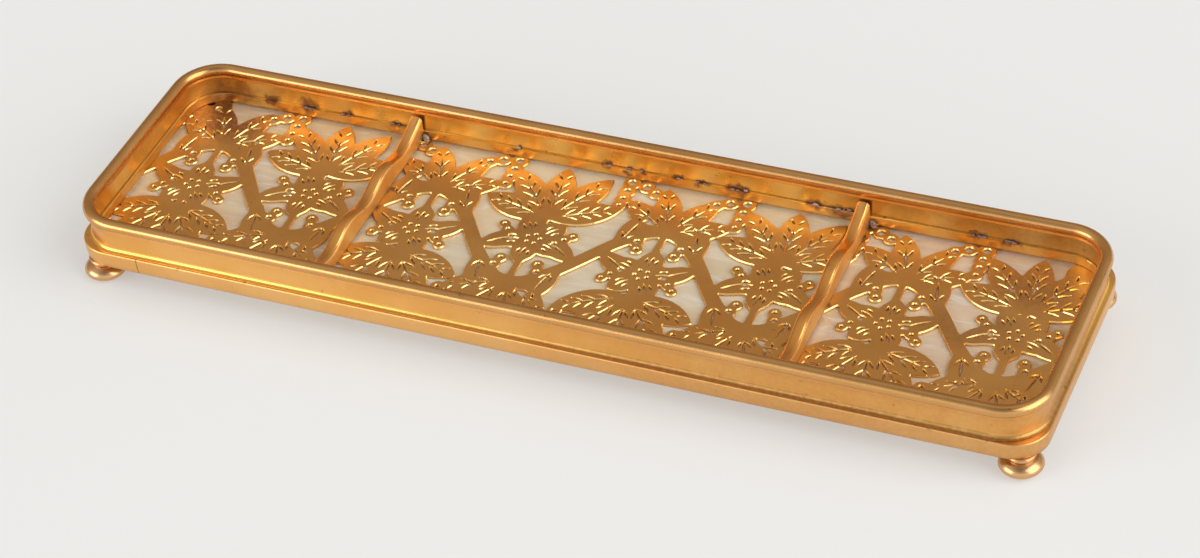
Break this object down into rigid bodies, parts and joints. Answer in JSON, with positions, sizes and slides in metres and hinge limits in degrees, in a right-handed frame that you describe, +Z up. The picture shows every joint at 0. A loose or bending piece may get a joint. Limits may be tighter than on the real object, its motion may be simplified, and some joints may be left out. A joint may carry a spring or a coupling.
{
  "type": "pen tray",
  "caption": "Long shallow gilt pen tray on bun feet, with a rolled rim, a pierced floor over opalescent glass and scalloped bars that part it into bays.",
  "frame": {"origin": "on the surface that the tray stands on, under the middle of the tray", "axes": "+X along the tray, +Y to the back, +Z up"},
  "size_m": [0.25, 0.0714, 0.0206],
  "materials": {
    "gilt_bronze": "satin gilt, a little worn at the edges",
    "gilt_sheet": "satin gilt sheet with darkened hollows and brighter opening edges",
    "opal_glass": "streaked opalescent glass, nearly opaque",
    "brass": "plain brass",
    "solder": "dull grey solder"
  },
  "bodies": {
    "root": {"gallery_frame": "gilt_bronze", "base_band": "gilt_bronze", "retaining_strip": "gilt_bronze", "divider_left": "gilt_bronze", "divider_right": "gilt_bronze", "pierced_sheet": "gilt_sheet", "glass_left": "opal_glass", "glass_centre": "opal_glass", "glass_right": "opal_glass", "bottom_plate": "brass", "foot_front_left": "gilt_bronze", "foot_screw_front_left": "brass", "solder_front_left": "solder", "foot_back_left": "gilt_bronze", "foot_screw_back_left": "brass", "solder_back_left": "solder", "foot_front_right": "gilt_bronze", "foot_screw_front_right": "brass", "solder_front_right": "solder", "foot_back_right": "gilt_bronze", "foot_screw_back_right": "brass", "solder_back_right": "solder"}
  },
  "joints": []
}
